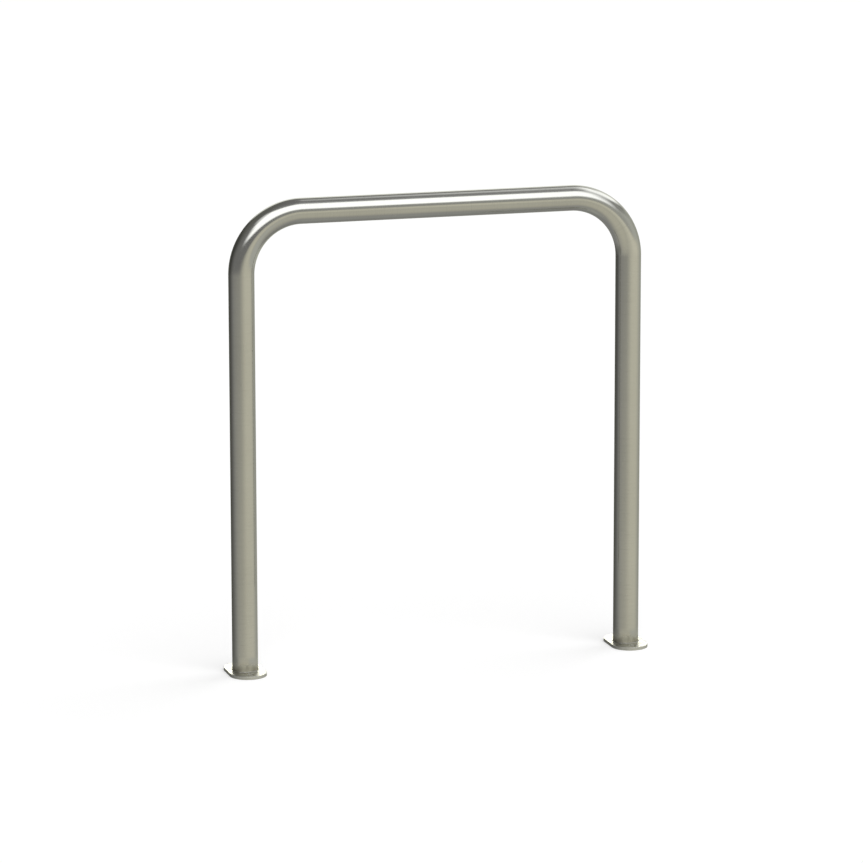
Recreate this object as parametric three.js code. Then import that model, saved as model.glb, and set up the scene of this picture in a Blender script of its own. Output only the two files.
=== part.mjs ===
// Hoop bike rack: one bent stainless steel tube standing on two obround base plates.
// Millimetres, +Z up. The hoop lies in the XZ plane, and the origin is on the ground midway between its legs.
import * as THREE from "three";

// Bent tube
const TUBE_DIAMETER = 48.3;
const TUBE_WALL = 2.6;
const LEG_SPACING = 752;
const HOOP_HEIGHT = 893;
const BEND_RADIUS = 114.3;

// Base plates
const PLATE_THICKNESS = 6;
const PLATE_SIDE_LAND = 10.85;
const PLATE_END_LAND = 32.85;
const PLATE_EDGE_CHAMFER = 0.6;

// Anchor holes
const ANCHOR_HOLE_DIAMETER = 12;

// Foot welds
const WELD_LEG = 1.5;
const WELD_HOLLOW = 0.4;

// Room between pieces that touch
const JOINT_GAP = 0.3;

// Facet counts
const TUBE_SIDES = 48;
const BORE_SIDES = 24;
const BEND_STEPS = 18;
const PLATE_END_STEPS = 24;
const HOLE_SIDES = 32;
const WELD_SIDES = 48;
const WELD_FACE_STEPS = 4;

// Sizes that follow from the ones above
const TUBE_RADIUS = TUBE_DIAMETER / 2;
const BORE_RADIUS = TUBE_RADIUS - TUBE_WALL;
const LEG_OFFSET = LEG_SPACING / 2;
const BAR_HEIGHT = HOOP_HEIGHT - TUBE_RADIUS;
const TUBE_FOOT_HEIGHT = PLATE_THICKNESS + JOINT_GAP;
const PLATE_HALF_WIDTH = TUBE_RADIUS + PLATE_SIDE_LAND;
const PLATE_HALF_LENGTH = TUBE_RADIUS + PLATE_END_LAND;
const WELD_INNER_RADIUS = TUBE_RADIUS + JOINT_GAP;
const WELD_OUTER_RADIUS = WELD_INNER_RADIUS + WELD_LEG;
const ANCHOR_OFFSET = (WELD_OUTER_RADIUS + PLATE_HALF_LENGTH) / 2;

// Finishes
const satinTube = new THREE.MeshStandardMaterial({ color: 0xb3b1a6, roughness: 0.2, metalness: 1 });
const satinPlate = new THREE.MeshStandardMaterial({ color: 0xbcbaaf, roughness: 0.25, metalness: 1 });
const weldMetal = new THREE.MeshStandardMaterial({ color: 0xadaba0, roughness: 0.3, metalness: 1 });

// Points of a circle with its corners on the given radius.
function circlePoints(radius, sides) {
  const points = [];
  for (let side = 0; side < sides; side += 1) {
    const angle = (side / sides) * Math.PI * 2;
    points.push(new THREE.Vector2(Math.cos(angle) * radius, Math.sin(angle) * radius));
  }
  return points;
}

// A path through given stations, each a point and the direction of travel there.
class StationPath extends THREE.Curve {
  constructor(stations) {
    super();
    this.stations = stations;
  }

  stationAt(share) {
    return this.stations[Math.round(share * (this.stations.length - 1))];
  }

  getPointAt(share) {
    return this.stationAt(share).point.clone();
  }

  getTangentAt(share) {
    return this.stationAt(share).direction.clone();
  }
}

// Stations of one quarter bend in the XZ plane, about its centre, from one angle down to another.
function bendStations(centreX, centreZ, startAngle, endAngle) {
  const stations = [];
  for (let step = 0; step <= BEND_STEPS; step += 1) {
    const angle = THREE.MathUtils.lerp(startAngle, endAngle, step / BEND_STEPS);
    const outward = new THREE.Vector3(Math.cos(angle), 0, Math.sin(angle));
    const point = new THREE.Vector3(centreX, 0, centreZ).addScaledVector(outward, BEND_RADIUS);
    stations.push({ point, direction: new THREE.Vector3(outward.z, 0, -outward.x) });
  }
  return stations;
}

// Centre line of the tube: up the left leg, round both bends, and down the right leg.
function hoopStations() {
  const bendX = LEG_OFFSET - BEND_RADIUS;
  const bendZ = BAR_HEIGHT - BEND_RADIUS;
  const leftFoot = new THREE.Vector3(-LEG_OFFSET, 0, TUBE_FOOT_HEIGHT);
  const rightFoot = new THREE.Vector3(LEG_OFFSET, 0, TUBE_FOOT_HEIGHT);
  return [
    { point: leftFoot, direction: new THREE.Vector3(0, 0, 1) },
    ...bendStations(-bendX, bendZ, Math.PI, Math.PI / 2),
    ...bendStations(bendX, bendZ, Math.PI / 2, 0),
    { point: rightFoot, direction: new THREE.Vector3(0, 0, -1) },
  ];
}

// The tube is one length with an open bore, cut square at both feet.
function makeHoopTube() {
  const section = new THREE.Shape(circlePoints(TUBE_RADIUS, TUBE_SIDES));
  section.holes.push(new THREE.Path(circlePoints(BORE_RADIUS, BORE_SIDES)));
  const stations = hoopStations();
  const geometry = new THREE.ExtrudeGeometry(section, {
    steps: stations.length - 1,
    bevelEnabled: false,
    extrudePath: new StationPath(stations),
  });
  const tube = new THREE.Mesh(geometry, satinTube);
  tube.name = "hoop_tube";
  return tube;
}

// Obround outline with its long axis along Y.
function plateOutline() {
  const outline = new THREE.Shape();
  const endCentre = PLATE_HALF_LENGTH - PLATE_HALF_WIDTH;
  outline.moveTo(PLATE_HALF_WIDTH, -endCentre);
  outline.absarc(0, endCentre, PLATE_HALF_WIDTH, 0, Math.PI);
  outline.absarc(0, -endCentre, PLATE_HALF_WIDTH, Math.PI, Math.PI * 2);
  return outline;
}

// A flat plate with an anchor hole in front of the leg and another behind it, every edge chamfered.
function makePlate() {
  const outline = plateOutline();
  for (const side of [-1, 1]) {
    const hole = circlePoints(ANCHOR_HOLE_DIAMETER / 2, HOLE_SIDES);
    hole.forEach((point) => point.setY(point.y + side * ANCHOR_OFFSET));
    outline.holes.push(new THREE.Path(hole));
  }
  const geometry = new THREE.ExtrudeGeometry(outline, {
    curveSegments: PLATE_END_STEPS / 2,
    depth: PLATE_THICKNESS - 2 * PLATE_EDGE_CHAMFER,
    bevelThickness: PLATE_EDGE_CHAMFER,
    bevelSize: PLATE_EDGE_CHAMFER,
    bevelOffset: -PLATE_EDGE_CHAMFER,
    bevelSegments: 1,
  });
  geometry.translate(0, 0, PLATE_EDGE_CHAMFER);
  return new THREE.Mesh(geometry, satinPlate);
}

// Fillet weld all round the foot of the leg. Its face is dressed hollow, close to a quarter circle.
function makeWeld() {
  const plateToe = new THREE.Vector2(WELD_OUTER_RADIUS, 0);
  const tubeToe = new THREE.Vector2(WELD_INNER_RADIUS, WELD_LEG);
  const inward = new THREE.Vector2(-Math.SQRT1_2, -Math.SQRT1_2);
  const profile = [new THREE.Vector2(WELD_INNER_RADIUS, 0)];
  for (let step = 0; step <= WELD_FACE_STEPS; step += 1) {
    const share = step / WELD_FACE_STEPS;
    const point = plateToe.clone().lerp(tubeToe, share);
    profile.push(point.addScaledVector(inward, WELD_HOLLOW * Math.sin(Math.PI * share)));
  }
  profile.push(profile[0].clone());
  const geometry = new THREE.LatheGeometry(profile, WELD_SIDES);
  geometry.rotateX(Math.PI / 2);
  const weld = new THREE.Mesh(geometry, weldMetal);
  weld.position.z = PLATE_THICKNESS + JOINT_GAP;
  return weld;
}

// One foot: its plate, and the weld that joins the leg to it.
function makeFoot(sideName, x) {
  const foot = new THREE.Group();
  const plate = makePlate();
  const weld = makeWeld();
  plate.name = `base_plate_${sideName}`;
  weld.name = `foot_weld_${sideName}`;
  foot.add(plate, weld);
  foot.position.x = x;
  return foot;
}

const bikeRack = new THREE.Group();
bikeRack.add(makeHoopTube(), makeFoot("left", -LEG_OFFSET), makeFoot("right", LEG_OFFSET));

export default bikeRack;
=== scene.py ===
"""Looks, floor, light and camera of the hoop bike rack, in metres, in the frame of its CAD model."""

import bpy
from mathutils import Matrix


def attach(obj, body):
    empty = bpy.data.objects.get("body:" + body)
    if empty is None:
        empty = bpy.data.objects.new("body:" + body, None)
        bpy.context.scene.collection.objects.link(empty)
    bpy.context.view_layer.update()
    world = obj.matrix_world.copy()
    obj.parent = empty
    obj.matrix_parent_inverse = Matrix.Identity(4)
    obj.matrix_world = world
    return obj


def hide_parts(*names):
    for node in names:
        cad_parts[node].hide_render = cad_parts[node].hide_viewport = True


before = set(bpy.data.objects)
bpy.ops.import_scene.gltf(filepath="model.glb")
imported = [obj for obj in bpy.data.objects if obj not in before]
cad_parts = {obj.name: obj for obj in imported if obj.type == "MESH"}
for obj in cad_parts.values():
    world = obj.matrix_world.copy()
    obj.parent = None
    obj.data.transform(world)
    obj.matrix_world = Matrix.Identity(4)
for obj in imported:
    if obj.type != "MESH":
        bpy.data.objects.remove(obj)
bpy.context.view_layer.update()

import math

import bmesh
import bpy
import numpy as np
from mathutils import Matrix, Vector

# Bent tube
TUBE_DIAMETER = 0.0483
TUBE_WALL = 0.0026
LEG_SPACING = 0.752
HOOP_HEIGHT = 0.893
BEND_RADIUS = 0.1143
CUT_EDGE_ROUND = 0.0003

# Base plates
PLATE_THICKNESS = 0.006
PLATE_SIDE_LAND = 0.01085
PLATE_END_LAND = 0.03285
PLATE_EDGE_ROUND = 0.0006
HOLE_DIAMETER = 0.012
HOLE_EDGE_ROUND = 0.0005

# Foot welds
JOINT_GAP = 0.0003
WELD_LEG = 0.0015
WELD_HOLLOW = 0.0004
WELD_SINK = 0.00008
RIPPLE_COUNT = 110
RIPPLE_HEIGHT = 0.00004
RIPPLE_BOW = 2.4
RIPPLE_ROUNDNESS = 0.8
FACE_FULLNESS = 0.8

# Waves in the line of a weld's toes: how many go round, their height, and their share of the weld's phase.
# The toe on the tube has a share of them, so many points behind.
TOE_WAVES = ((5, 0.00006, 1.0), (13, 0.00004, 2.3))
TUBE_TOE_SHARE = 0.8
TUBE_TOE_LAG = 150

# Sizes that follow from the ones above
TUBE_RADIUS = TUBE_DIAMETER / 2
BORE_RADIUS = TUBE_RADIUS - TUBE_WALL
LEG_OFFSET = LEG_SPACING / 2
BAR_HEIGHT = HOOP_HEIGHT - TUBE_RADIUS
TUBE_FOOT_HEIGHT = PLATE_THICKNESS + JOINT_GAP
PLATE_HALF_WIDTH = TUBE_RADIUS + PLATE_SIDE_LAND
PLATE_HALF_LENGTH = TUBE_RADIUS + PLATE_END_LAND
HOLE_RADIUS = HOLE_DIAMETER / 2
HOLE_OFFSET = (TUBE_RADIUS + JOINT_GAP + WELD_LEG + PLATE_HALF_LENGTH) / 2
WELD_PLATE_TOE = TUBE_RADIUS + WELD_LEG
WELD_TUBE_TOE = PLATE_THICKNESS + WELD_LEG

# Point counts. The rings are those of a leg, a bend and half the bar.
TUBE_SIDES = 144
TUBE_RINGS = (26, 72, 9)
BORE_RINGS = (6, 30, 3)
CUT_ROUND_POINTS = 4
PLATE_ROUND_POINTS = 6
PLATE_SIDE_POINTS = 8
PLATE_END_POINTS = 72
PLATE_MIDDLE_POINTS = 24
PLATE_FACE_POINTS = 7
WELD_TURN_POINTS = 1100
WELD_FACE_POINTS = 15

# Steps to the metre that points are rounded to, so that those in one place are made one
MERGE_STEPS = 1e7

# How many rounds in from the corner a flat face has the ring that keeps it flat
FLAT_GUARD = 1.6


# Meshes

def grid_faces(rows, columns, wrap_rows, wrap_columns):
    """Four-cornered faces between neighbours of a grid whose points are numbered row by row."""
    row = np.arange(rows if wrap_rows else rows - 1)[:, None]
    column = np.arange(columns if wrap_columns else columns - 1)[None, :]
    next_row = (row + 1) % rows
    next_column = (column + 1) % columns
    corners = [row * columns + column, row * columns + next_column,
               next_row * columns + next_column, next_row * columns + column]
    return np.stack(corners, -1).reshape(-1, 4)


def closed_piece(name, grids, attribute=None):
    """One closed mesh from (points, wrap_rows, wrap_columns) grids: points in the same place are made one,
    and the faces are turned to point outwards. An attribute is a name and its vectors, one for each point."""
    points = []
    faces = []
    first = 0
    for grid, wrap_rows, wrap_columns in grids:
        rows, columns = grid.shape[:2]
        points.append(grid.reshape(-1, 3))
        faces.append(grid_faces(rows, columns, wrap_rows, wrap_columns) + first)
        first += rows * columns
    points = np.concatenate(points)
    cells = np.round(points * MERGE_STEPS).astype(np.int64)
    kept, same = np.unique(cells, axis=0, return_index=True, return_inverse=True)[1:]
    points = points[kept]
    faces = same.reshape(-1)[np.concatenate(faces)]
    mesh = bpy.data.meshes.new(name)
    mesh.vertices.add(len(points))
    mesh.vertices.foreach_set("co", points.astype(np.float32).ravel())
    mesh.loops.add(faces.size)
    mesh.loops.foreach_set("vertex_index", faces.astype(np.int32).ravel())
    mesh.polygons.add(len(faces))
    mesh.polygons.foreach_set("loop_start", np.arange(0, faces.size, 4, dtype=np.int32))
    mesh.update(calc_edges=True)
    if attribute is not None:
        attribute_name, vectors = attribute
        layer = mesh.attributes.new(attribute_name, "FLOAT_VECTOR", "POINT")
        layer.data.foreach_set("vector", vectors.reshape(-1, 3)[kept].astype(np.float32).ravel())
    shell = bmesh.new()
    shell.from_mesh(mesh)
    bmesh.ops.recalc_face_normals(shell, faces=shell.faces)
    shell.to_mesh(mesh)
    shell.free()
    mesh.shade_smooth()
    piece = bpy.data.objects.new(name, mesh)
    bpy.context.scene.collection.objects.link(piece)
    return piece


def hoop_line(leg_rings, bend_rings, bar_rings):
    """Stations of the tube's centre line: its points, the direction away from the hoop's middle at each, and
    the distance travelled. The left half is a straight leg, a quarter circle and half the bar; the right half
    is its mirror image."""
    bend_x = LEG_OFFSET - BEND_RADIUS
    bend_z = BAR_HEIGHT - BEND_RADIUS
    turn = np.linspace(math.pi, math.pi / 2, bend_rings + 1)[1:]
    x = np.concatenate([np.full(leg_rings, -LEG_OFFSET), -bend_x + BEND_RADIUS * np.cos(turn),
                        np.linspace(-bend_x, 0, bar_rings + 1)[1:]])
    z = np.concatenate([np.linspace(TUBE_FOOT_HEIGHT, bend_z, leg_rings),
                        bend_z + BEND_RADIUS * np.sin(turn), np.full(bar_rings, BAR_HEIGHT)])
    angle = np.concatenate([np.full(leg_rings, math.pi), turn, np.full(bar_rings, math.pi / 2)])
    x = np.concatenate([x, -x[-2::-1]])
    z = np.concatenate([z, z[-2::-1]])
    angle = np.concatenate([angle, math.pi - angle[-2::-1]])
    centre = np.stack([x, np.zeros_like(x), z], -1)
    outward = np.stack([np.cos(angle), np.zeros_like(x), np.sin(angle)], -1)
    run = np.concatenate([[0], np.cumsum(np.linalg.norm(np.diff(centre, axis=0), axis=1))])
    return centre, outward, run


def hoop_tube():
    """The tube as one closed grid. Going round, a point lies at the ring's centre plus its radius times the
    cosine of the angle outward and the sine towards the front. Going along, the rings run up and over on the
    outside, round the right leg's cut edge, back through the bore, and round the left leg's cut edge. Each
    point also has its place on the tube before it was bent, with the length along it as the third part."""
    angle = np.arange(TUBE_SIDES) * 2 * math.pi / TUBE_SIDES
    centre, outward, run = hoop_line(*TUBE_RINGS)
    bore_centre, bore_outward, bore_run = (part[::-1] for part in hoop_line(*BORE_RINGS))
    # Each cut edge is a small round, the flat and a small round, as distance from the cut and radius
    bow = np.linspace(0, math.pi / 2, CUT_ROUND_POINTS)
    depth = CUT_EDGE_ROUND * np.concatenate([1 - np.sin(bow), 1 - np.sin(bow[::-1])])
    radius = np.concatenate([TUBE_RADIUS - CUT_EDGE_ROUND * (1 - np.cos(bow)),
                             BORE_RADIUS + CUT_EDGE_ROUND * (1 - np.cos(bow[::-1]))])
    up = np.array([0.0, 0.0, 1.0])
    front = np.array([0.0, -1.0, 0.0])
    right_cut = centre[-1] + depth[:, None] * up
    left_cut = centre[0] + depth[::-1, None] * up
    line = np.concatenate([centre[1:-1], right_cut, bore_centre[1:-1], left_cut])
    away = np.concatenate([outward[1:-1], np.tile(outward[-1], (len(depth), 1)), bore_outward[1:-1],
                           np.tile(outward[0], (len(depth), 1))])
    along = np.concatenate([run[1:-1], run[-1] - depth, bore_run[1:-1], depth[::-1]])
    radii = np.concatenate([np.full(len(centre) - 2, TUBE_RADIUS), radius,
                            np.full(len(bore_centre) - 2, BORE_RADIUS), radius[::-1]])
    ring = np.cos(angle)[None, :, None] * away[:, None, :] + np.sin(angle)[None, :, None] * front
    grid = line[:, None, :] + radii[:, None, None] * ring
    unbent = np.stack(np.broadcast_arrays(radii[:, None] * np.cos(angle), radii[:, None] * np.sin(angle),
                                          along[:, None]), -1)
    return closed_piece("satin_hoop", [(grid, True, True)], ("unbent", unbent))


def raised(rows, heights):
    """Flat points with a height as their third coordinate: one height for all rows, or one for each."""
    heights = np.reshape(heights, (-1, 1, 1))
    return np.concatenate([rows, np.broadcast_to(heights, rows.shape[:2] + (1,))], -1)


def rounded_wall(corner, height):
    """A wall's section from the top face to the bottom face, as its set back and its height: a quarter circle
    at both corners, with a ring close to each side of it so that the flat faces stay flat to the eye."""
    bow = np.linspace(0, math.pi / 2, PLATE_ROUND_POINTS)
    back = np.concatenate([[FLAT_GUARD], 1 - np.sin(bow), [0]]) * corner
    drop = np.concatenate([[0], 1 - np.cos(bow), [FLAT_GUARD]]) * corner
    return np.concatenate([back, back[::-1]]), np.concatenate([height - drop, drop[::-1]])


def half_outline(back):
    """The obround's edge on its +Y half, set back by the given distances: up the right side, round the end
    and down the left side. One row for each distance."""
    centre_y = PLATE_HALF_LENGTH - PLATE_HALF_WIDTH
    turn = np.linspace(0, math.pi, PLATE_END_POINTS)
    side = np.ones(PLATE_SIDE_POINTS)
    x = np.concatenate([side, np.cos(turn), -side])
    y = np.concatenate([np.linspace(0, centre_y, PLATE_SIDE_POINTS, endpoint=False),
                        np.full(PLATE_END_POINTS, centre_y),
                        np.linspace(centre_y, 0, PLATE_SIDE_POINTS + 1)[1:]])
    rise = np.concatenate([0 * side, np.sin(turn), 0 * side])
    width = PLATE_HALF_WIDTH - np.asarray(back)[:, None]
    return np.stack([width * x, y + width * rise], -1)


def base_plate(name, centre_x):
    """Obround plate with two through holes, made of two mirrored halves. On each half, the top and bottom
    faces run in straight rays from the hole's rim to the plate's edge and middle line, and the wall and the
    hole are a rounded section carried along their outlines."""
    back, height = rounded_wall(PLATE_EDGE_ROUND, PLATE_THICKNESS)
    hole_back, hole_height = rounded_wall(HOLE_EDGE_ROUND, PLATE_THICKNESS)
    edge = half_outline(back)
    rim = edge[0]
    middle_x = np.linspace(rim[-1, 0], rim[0, 0], PLATE_MIDDLE_POINTS + 2)[1:-1]
    loop = np.concatenate([rim, np.stack([middle_x, np.zeros(PLATE_MIDDLE_POINTS)], -1)])
    hole_centre = np.array([0, HOLE_OFFSET])
    ray = loop - hole_centre
    ray /= np.linalg.norm(ray, axis=1, keepdims=True)
    hole = hole_centre + (HOLE_RADIUS + hole_back)[:, None, None] * ray
    share = np.linspace(0, 1, PLATE_FACE_POINTS)[:, None, None]
    face = (1 - share) * hole[0] + share * loop
    grids = [(raised(edge, height), False, False), (raised(hole, hole_height), False, True)]
    for face_height in (height[0], height[-1]):
        grids.append((raised(face, face_height), False, True))
    # The mirrored half has its columns in reverse, so that its faces turn the same way
    mirror = np.array([1, -1, 1])
    grids += [(grid[:, ::-1] * mirror, *wraps) for grid, *wraps in grids]
    place = np.array([centre_x, 0, 0])
    return closed_piece(name, [(grid + place, *wraps) for grid, *wraps in grids])


def foot_weld(name, centre_x, phase):
    """Fillet weld as one closed grid. Its section goes from the toe on the plate, over a slightly hollow
    face, to the toe on the tube, and back through the joint. The face rises in ripples that bow along the
    run, and each toe wanders by up to a tenth of a millimetre, as a sum of sine waves."""
    turns = np.linspace(0, 2 * math.pi, WELD_TURN_POINTS, endpoint=False)
    share = np.linspace(0, 1, WELD_FACE_POINTS)[:, None]
    inner = TUBE_RADIUS - WELD_SINK
    base = PLATE_THICKNESS - WELD_SINK
    wander = sum(tall * np.sin(count * turns + part * phase) for count, tall, part in TOE_WAVES)
    toe = WELD_PLATE_TOE + wander
    top = WELD_TUBE_TOE + TUBE_TOE_SHARE * np.roll(wander, TUBE_TOE_LAG)
    bowed = RIPPLE_COUNT * turns + phase + RIPPLE_BOW * (2 * share - 1) ** 2
    ripple = RIPPLE_HEIGHT * (np.abs(np.cos(bowed / 2)) ** RIPPLE_ROUNDNESS - 0.5)
    lift = (ripple - WELD_HOLLOW) * np.sin(math.pi * share) ** FACE_FULLNESS * math.sqrt(0.5)
    radius = toe + (inner - toe) * share + lift
    height = base + (top - base) * share + lift
    radius = np.concatenate([radius, np.full((1, WELD_TURN_POINTS), inner)])
    height = np.concatenate([height, np.full((1, WELD_TURN_POINTS), base)])
    grid = np.stack([centre_x + radius * np.cos(turns), radius * np.sin(turns), height], -1)
    return closed_piece(name, [(grid, True, True)])


# Materials

def put(tree, kind, inputs=None, **settings):
    """Adds a node with its settings, and fills each named input with a value or another node's output."""
    made = tree.nodes.new(kind)
    for name, value in settings.items():
        setattr(made, name, value)
    for name, value in (inputs or {}).items():
        if isinstance(value, bpy.types.NodeSocket):
            tree.links.new(value, made.inputs[name])
        else:
            made.inputs[name].default_value = value
    return made.outputs


def maths(tree, operation, *values, clamp=False):
    """The result of one sum on values or outputs."""
    return put(tree, "ShaderNodeMath", dict(enumerate(values)), operation=operation, use_clamp=clamp)[0]


def spread(tree, value, span, to_low=0.0, to_high=1.0):
    """The value's part of a span, laid out between two other values and held there past the span's ends."""
    return put(tree, "ShaderNodeMapRange", {"Value": value, "From Min": span[0], "From Max": span[1],
                                            "To Min": to_low, "To Max": to_high})[0]


def smooth_step(tree, value, start, end):
    """Nothing at the start and one at the end, with a smooth rise between."""
    return put(tree, "ShaderNodeMapRange", {"Value": value, "From Min": start, "From Max": end},
               interpolation_type="SMOOTHSTEP")[0]


def noise(tree, place, stretch, detail, shift=(0.0, 0.0, 0.0)):
    """Soft noise on a place that is scaled along each axis and then shifted, so that no two look alike."""
    moved = put(tree, "ShaderNodeMapping", {"Vector": place, "Location": shift, "Scale": stretch})[0]
    return put(tree, "ShaderNodeTexNoise", {"Vector": moved, "Scale": 1.0, "Detail": detail})["Fac"]


def blend(tree, factor, first, second):
    """From the first colour at nothing to the second at one."""
    return put(tree, "ShaderNodeMix", {"Factor": factor, 6: first, 7: second}, data_type="RGBA")[2]


def opaque(colour, share=1.0):
    """A tone times a share, as the four values of a colour socket."""
    return (*(share * part for part in colour), 1.0)


def new_material(name):
    """An empty material and its node tree."""
    material = bpy.data.materials.new(name)
    material.use_nodes = True
    material.node_tree.nodes.clear()
    return material, material.node_tree


# Grain, smudges, the clouds inside them, and wear: where each noise begins and ends to show, and what it does
GRAIN_SPAN = (0.3, 0.7)
GRAIN_GLOSS = 0.03
GRAIN_SHADE_SPAN = (0.35, 0.75)
GRAIN_SHADE = 0.8
GRAIN_SHADE_SHARE = 0.10
GRAIN_BUMP = 0.35
SMUDGE_SHIFT = (3.1, 1.7, 0.4)
SMUDGE_SPAN = (0.35, 0.65)
SMUDGE_GLOSS = 0.02
SMUDGE_TONE_SPAN = (0.3, 0.7)
CLOUD_SCALE = 6
CLOUD_SHIFT = (0.6, 5.2, 2.9)
CLOUD_SPAN = (0.3, 0.75)
CLOUD_GLOSS = (-0.015, 0.02)
LINE_SPACING = 0.4
LINE_SHIFT = (7.7, 2.2, 5.1)
LINE_SPAN = (0.56, 0.66)
LINE_SHARE = 0.6
SCUFF_SCALE = (260, 260, 260)
SCUFF_SHIFT = (1.3, 8.8, 6.4)
SCUFF_SPAN = (0.64, 0.70)
SCUFFED_CLOUD_SPAN = (0.45, 0.6)
SCUFF_SHARE = 0.5
WEAR_ROUGHENING = 0.08
WEAR_SHADE = 0.5
WEAR_SHADE_SHARE = 0.16
EDGE_TINT = (0.93, 0.92, 0.81, 1.0)


def steel(name, place, tone, dull_tone, grain_stretch, roughness, grain_height, smudge_stretch,
          weld_zone=None):
    """Satin stainless steel: a fine grain in one direction with scattered deeper lines in it, soft smudges in
    gloss and tone, and faint short scuffs from use. A weld zone gives two heights: below the first the steel
    turns rougher and straw-coloured, fully so at the second."""
    material, tree = new_material(name)
    if place == "Object":
        where = put(tree, "ShaderNodeTexCoord")["Object"]
    else:
        where = put(tree, "ShaderNodeAttribute", attribute_name=place)["Vector"]
    cloud_stretch = tuple(CLOUD_SCALE * part for part in smudge_stretch)
    line_stretch = tuple(LINE_SPACING * part for part in grain_stretch)
    grain = noise(tree, where, grain_stretch, detail=4.0)
    smudge = noise(tree, where, smudge_stretch, detail=2.0, shift=SMUDGE_SHIFT)
    cloud = noise(tree, where, cloud_stretch, detail=5.0, shift=CLOUD_SHIFT)
    lines = noise(tree, where, line_stretch, detail=2.0, shift=LINE_SHIFT)
    scuffs = noise(tree, where, SCUFF_SCALE, detail=1.0, shift=SCUFF_SHIFT)
    scuffs = maths(tree, "MULTIPLY", spread(tree, scuffs, SCUFF_SPAN),
                   spread(tree, cloud, SCUFFED_CLOUD_SPAN))
    worn = maths(tree, "MAXIMUM", maths(tree, "MULTIPLY", spread(tree, lines, LINE_SPAN), LINE_SHARE),
                 maths(tree, "MULTIPLY", scuffs, SCUFF_SHARE))

    gloss = maths(tree, "ADD", spread(tree, grain, GRAIN_SPAN, -GRAIN_GLOSS, GRAIN_GLOSS),
                  spread(tree, smudge, SMUDGE_SPAN, roughness - SMUDGE_GLOSS, roughness + SMUDGE_GLOSS))
    gloss = maths(tree, "ADD", gloss, spread(tree, cloud, CLOUD_SPAN, *CLOUD_GLOSS))
    gloss = maths(tree, "ADD", gloss, maths(tree, "MULTIPLY", worn, WEAR_ROUGHENING))

    colour = blend(tree, spread(tree, smudge, SMUDGE_TONE_SPAN), opaque(tone), opaque(dull_tone))
    colour = blend(tree, spread(tree, grain, GRAIN_SHADE_SPAN, 0.0, GRAIN_SHADE_SHARE), colour,
                   opaque(tone, GRAIN_SHADE))
    colour = blend(tree, maths(tree, "MULTIPLY", worn, WEAR_SHADE_SHARE), colour, opaque(tone, WEAR_SHADE))

    if weld_zone is not None:
        place_in_part = put(tree, "ShaderNodeTexCoord")["Object"]
        height = put(tree, "ShaderNodeSeparateXYZ", {"Vector": place_in_part})["Z"]
        heated = spread(tree, height, weld_zone)
        gloss = maths(tree, "ADD", gloss, maths(tree, "MULTIPLY", heated, WELD_ZONE_ROUGHENING))
        colour = blend(tree, heated, colour, opaque(np.multiply(tone, WELD_ZONE_TINT)))

    bump = put(tree, "ShaderNodeBump", {"Strength": GRAIN_BUMP, "Distance": grain_height, "Height": grain})[0]
    shader = put(tree, "ShaderNodeBsdfPrincipled", {"Base Color": colour, "Metallic": 1.0,
                                                    "Roughness": gloss, "Normal": bump,
                                                    "Specular Tint": EDGE_TINT})[0]
    put(tree, "ShaderNodeOutputMaterial", {"Surface": shader})
    return material


TUBE_TONE = (0.45, 0.44, 0.38)
TUBE_DULL = (0.43, 0.42, 0.36)
PLATE_TONE = (0.50, 0.49, 0.43)
PLATE_DULL = (0.47, 0.46, 0.40)
WELD_TONE = (0.31, 0.30, 0.255)
WELD_DULL = (0.28, 0.27, 0.23)
WELD_ZONE = (0.028, 0.012)
WELD_ZONE_ROUGHENING = 0.3
WELD_ZONE_TINT = (0.92, 0.90, 0.84)

tube_steel = steel("satin_tube_steel", "unbent", TUBE_TONE, TUBE_DULL, grain_stretch=(70, 70, 2600),
                   roughness=0.12, grain_height=0.000008, smudge_stretch=(9, 9, 5), weld_zone=WELD_ZONE)
plate_steel = steel("satin_plate_steel", "Object", PLATE_TONE, PLATE_DULL, grain_stretch=(2400, 60, 2400),
                    roughness=0.40, grain_height=0.000012, smudge_stretch=(18, 12, 18))
weld_steel = steel("dressed_weld_steel", "Object", WELD_TONE, WELD_DULL, grain_stretch=(900, 900, 900),
                   roughness=0.5, grain_height=0.00001, smudge_stretch=(60, 60, 60))


# Pieces

def settle(piece, material, node):
    """Gives a piece its material and slot, and puts it in the place of a CAD node."""
    piece.data.materials.append(material)
    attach(piece, "root")
    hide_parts(node)


settle(hoop_tube(), tube_steel, "hoop_tube")
plates = bpy.data.collections.new("plates")
for side, sign in (("left", -1), ("right", 1)):
    plate = base_plate(f"satin_plate_{side}", sign * LEG_OFFSET)
    settle(plate, plate_steel, f"base_plate_{side}")
    plates.objects.link(plate)
    weld = foot_weld(f"weld_bead_{side}", sign * LEG_OFFSET, phase=1.0 + sign)
    settle(weld, weld_steel, f"foot_weld_{side}")


# Floor

FLOOR_REACH = 60.0
FLOOR_LIFT = 0.405
FLOOR_TINT = (0.66, 0.66, 0.66)
WHITE = (1.0, 1.0, 1.0, 1.0)


def mirrored_rays(tree, rays):
    """One for rays that have met something glossy or clear, and nothing for others."""
    return maths(tree, "ADD", rays["Is Glossy Ray"], rays["Is Transmission Ray"], clamp=True)


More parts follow.
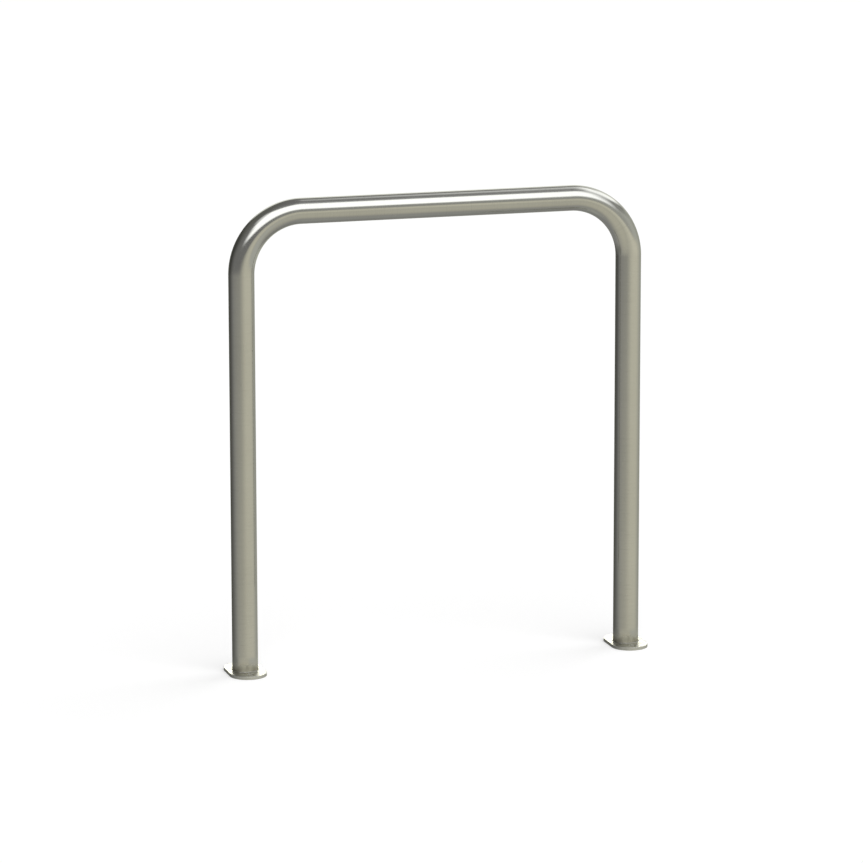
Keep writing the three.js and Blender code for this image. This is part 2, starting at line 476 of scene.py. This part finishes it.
def floor_finish():
    """Matt pale floor, lifted to white for the camera and for mirrored rays, on which shadows still show."""
    material, tree = new_material("white_floor")
    rays = put(tree, "ShaderNodeLightPath")
    seen = maths(tree, "ADD", rays["Is Camera Ray"], mirrored_rays(tree, rays), clamp=True)
    lift = put(tree, "ShaderNodeEmission", {"Strength": maths(tree, "MULTIPLY", seen, FLOOR_LIFT)})[0]
    matt = put(tree, "ShaderNodeBsdfDiffuse", {"Color": opaque(FLOOR_TINT)})[0]
    both = put(tree, "ShaderNodeAddShader", {0: matt, 1: lift})[0]
    put(tree, "ShaderNodeOutputMaterial", {"Surface": both})
    material.cycles.emission_sampling = "NONE"
    return material


floor_mesh = bpy.data.meshes.new("floor")
corner = np.array([-1, 1]) * FLOOR_REACH
floor_mesh.from_pydata([(x, y, 0.0) for y in corner for x in corner], [], [(0, 1, 3, 2)])
floor_mesh.materials.append(floor_finish())
floor = bpy.data.objects.new("floor", floor_mesh)
bpy.context.scene.collection.objects.link(floor)
floor.visible_glossy = False


# Studio round the hoop, as the steel shows it. A card reaches from its left to its right edge in degrees to
# the right of the front, and from its lower to its upper edge in degrees above the horizon. Then come its
# lean, which is how far its ends rise for each degree to the right, how soft its sides and its ends are, in
# degrees, its light and its tint. Later cards stand in front of earlier ones.

COOL = (0.97, 1.0, 1.1)
PLAIN = (0.97, 1.0, 1.01)
WARM = (1.01, 1.0, 0.91)
FLOOR_TONE = (0.41, 0.42, 0.46)
ROOM_TONE = (0.30, 0.305, 0.33)
HORIZON_FROM = -16
HORIZON_TO = -1
PLAIN_LEVEL = 0.45

FLOOR_CARDS = {
    "floor pool": (-80, 60, -63, -7, 0, 60, 20, 0.83, WARM),
    "floor, right": (26, 160, -34, -14, 0, 16, 7, 0.77, PLAIN),
    "floor, left": (-135, -84, -26, -15, 0, 14, 4, 0.36, PLAIN),
    "floor behind, right": (112, 136, -64, -30, 0, 15, 12, 0.38, PLAIN),
    "floor below": (-200, 200, -120, -74, 0, 1, 14, 0.62, PLAIN),
}
ROOM_CARDS = {
    "left wall, high": (-175, -95, 20, 72, 0, 25, 10, 0.22, PLAIN),
    "left wall": (-168, -112, -16, 28, 0, 30, 12, 0.08, PLAIN),
    "right wall": (10, 144, -12, 21, 0, 22, 5, 0.63, PLAIN),
    "right wall, middle": (58, 104, -10, 21, 0, 16, 5, 0.78, PLAIN),
    "low glow": (-8, 88, -16, 0.5, 0, 30, 2.5, 0.93, WARM),
    "glow at the horizon": (22, 72, -9, -2, 0, 15, 2, 1.06, WARM),
    "back right wall": (130, 160, 5, 40, 0, 12, 8, 1.0, COOL),
    "behind, high": (136, 152, 53, 64, 0, 6, 4, 1.05, COOL),
    "back glow": (153, 190, -6, 33, 0, 10, 6, 1.4, COOL),
    "behind, low left": (168, 212, -10, 16, 0.9, 3, 4, 0.12, PLAIN),
    "behind, low": (166, 215, -18, 0, 0, 3, 5, 0.15, PLAIN),
    "left fade": (-86, -60, 51, 66, 0, 10, 4, 1.05, COOL),
    "over the front panel": (-60, 40, 68, 82, 0, 20, 6, 0.44, COOL),
    "halo": (85, 140, 58, 70, 0, 12, 5, 1.05, COOL),
    "right fade": (55, 90, 36, 60, 0, 10, 6, 1.22, COOL),
    "right fade, low": (50, 68, 28, 42, 0, 10, 8, 0.95, COOL),
    "front panel, foot": (21, 48, 17, 25, 0, 7, 3, 1.3, COOL),
    "front panel, left foot": (-42, 0, 19.8, 26, -0.08, 8, 2.5, 1.15, COOL),
    "front panel, low": (-52, 53, 22.3, 48, 0, 17, 5, 2.5, COOL),
    "front panel, high": (-58, 52, 40, 68, 0, 16, 4, 2.5, COOL),
    "front panel, dim corner": (40, 75, 61, 80, 0, 10, 4, 0.52, COOL),
    "right panel, low": (87, 131, 27.5, 50, -0.4, 12, 5, 2.25, COOL),
    "right panel, high": (87, 138, 44, 60, 0, 13, 6, 2.25, COOL),
    "shade under right panel": (70, 98, 21, 33, -0.2, 9, 5, 0.52, PLAIN),
}


def soft_span(tree, offset, half, softness):
    """One where the offset is well inside the half width, falling smoothly to nothing across its edge."""
    return smooth_step(tree, maths(tree, "ABSOLUTE", offset), half + softness, half - softness)


def with_cards(tree, bearing, elevation, shown, cards):
    """The given colour with the cards laid over it."""
    for left, right, low, high, lean, side_softness, end_softness, light, tint in cards.values():
        from_middle = maths(tree, "SUBTRACT", bearing, (left + right) / 2)
        from_middle = maths(tree, "WRAP", from_middle, 180.0, -180.0)
        rise = maths(tree, "SUBTRACT", elevation, (low + high) / 2)
        if lean:
            rise = maths(tree, "SUBTRACT", rise, maths(tree, "MULTIPLY", from_middle, lean))
        mask = maths(tree, "MULTIPLY", soft_span(tree, from_middle, (right - left) / 2, side_softness),
                     soft_span(tree, rise, (high - low) / 2, end_softness))
        shown = blend(tree, mask, shown, opaque(tint, light))
    return shown


def studio_world():
    """White to the camera, the studio's cards to mirrored rays, and one plain level to all others."""
    world = bpy.data.worlds.new("studio")
    world.use_nodes = True
    world.cycles.sampling_method = "NONE"
    tree = world.node_tree
    tree.nodes.clear()
    ray = put(tree, "ShaderNodeSeparateXYZ", {"Vector": put(tree, "ShaderNodeTexCoord")["Generated"]})
    backward = maths(tree, "MULTIPLY", ray["Y"], -1.0)
    bearing = maths(tree, "MULTIPLY", maths(tree, "ARCTAN2", ray["X"], backward), 180 / math.pi)
    elevation = maths(tree, "MULTIPLY", maths(tree, "ARCSINE", ray["Z"]), 180 / math.pi)
    over_horizon = smooth_step(tree, elevation, HORIZON_FROM, HORIZON_TO)
    shown = with_cards(tree, bearing, elevation, opaque(FLOOR_TONE), FLOOR_CARDS)
    shown = blend(tree, over_horizon, shown, opaque(ROOM_TONE))
    shown = with_cards(tree, bearing, elevation, shown, ROOM_CARDS)
    rays = put(tree, "ShaderNodeLightPath")
    plain = put(tree, "ShaderNodeBackground", {"Color": WHITE, "Strength": PLAIN_LEVEL})[0]
    studio = put(tree, "ShaderNodeBackground", {"Color": shown, "Strength": 1.0})[0]
    white = put(tree, "ShaderNodeBackground", {"Color": WHITE, "Strength": 1.0})[0]
    lit = put(tree, "ShaderNodeMixShader", {0: mirrored_rays(tree, rays), 1: plain, 2: studio})[0]
    lit = put(tree, "ShaderNodeMixShader", {0: rays["Is Camera Ray"], 1: lit, 2: white})[0]
    put(tree, "ShaderNodeOutputWorld", {"Surface": lit})
    return world


bpy.context.scene.world = studio_world()


# Lamps

def direction(right_of_front, above):
    """The way to a place that many degrees to the right of the front and above the horizon."""
    turn = math.radians(right_of_front)
    rise = math.radians(above)
    return Vector((math.sin(turn) * math.cos(rise), -math.cos(turn) * math.cos(rise), math.sin(rise)))


def soft_lamp(name, right_of_front, above, width, strength, shines_on=None):
    """A far soft lamp in the given direction, as wide as the given angle. It shows in the steel only where it
    shines on given pieces alone."""
    lamp = bpy.data.lights.new(name, "SUN")
    lamp.energy = strength
    lamp.angle = math.radians(width)
    holder = bpy.data.objects.new(name, lamp)
    holder.visible_glossy = shines_on is not None
    holder.light_linking.receiver_collection = shines_on
    holder.rotation_mode = "QUATERNION"
    holder.rotation_quaternion = direction(right_of_front, above).to_track_quat("Z", "Y")
    bpy.context.scene.collection.objects.link(holder)


soft_lamp("front_lamp", right_of_front=12, above=50, width=55, strength=1.35)
soft_lamp("back_right_lamp", right_of_front=112, above=42, width=40, strength=0.75)
soft_lamp("plate_glint_lamp", right_of_front=165.2, above=12, width=16, strength=0.35, shines_on=plates)


# Camera

VIEW_TURN = 16.58
VIEW_DROP = 11.726
VIEW_ROLL = -0.0897
VIEW_DISTANCE = 8.6814
VIEW_CENTRE = Vector((-0.01144, 0.0, 0.4386))
VIEW_LENS = 193.14
VIEW_FRAME_WIDTH = 36.0
VIEW_REACH = 200.0

turn = math.radians(VIEW_TURN)
drop = math.radians(VIEW_DROP)
roll = math.radians(VIEW_ROLL)
forward = Vector((math.sin(turn) * math.cos(drop), math.cos(turn) * math.cos(drop), -math.sin(drop)))
level = Vector((math.cos(turn), -math.sin(turn), 0.0))
upright = level.cross(forward)
across = math.cos(roll) * level + math.sin(roll) * upright
upward = math.cos(roll) * upright - math.sin(roll) * level
turned = Matrix((across, upward, -forward)).transposed()
camera_data = bpy.data.cameras.new("camera")
camera_data.sensor_width = VIEW_FRAME_WIDTH
camera_data.lens = VIEW_LENS
camera_data.clip_end = VIEW_REACH
camera = bpy.data.objects.new("camera", camera_data)
camera.matrix_world = Matrix.Translation(VIEW_CENTRE - VIEW_DISTANCE * forward) @ turned.to_4x4()
bpy.context.scene.collection.objects.link(camera)
bpy.context.scene.camera = camera
bpy.context.scene.view_settings.view_transform = "Standard"
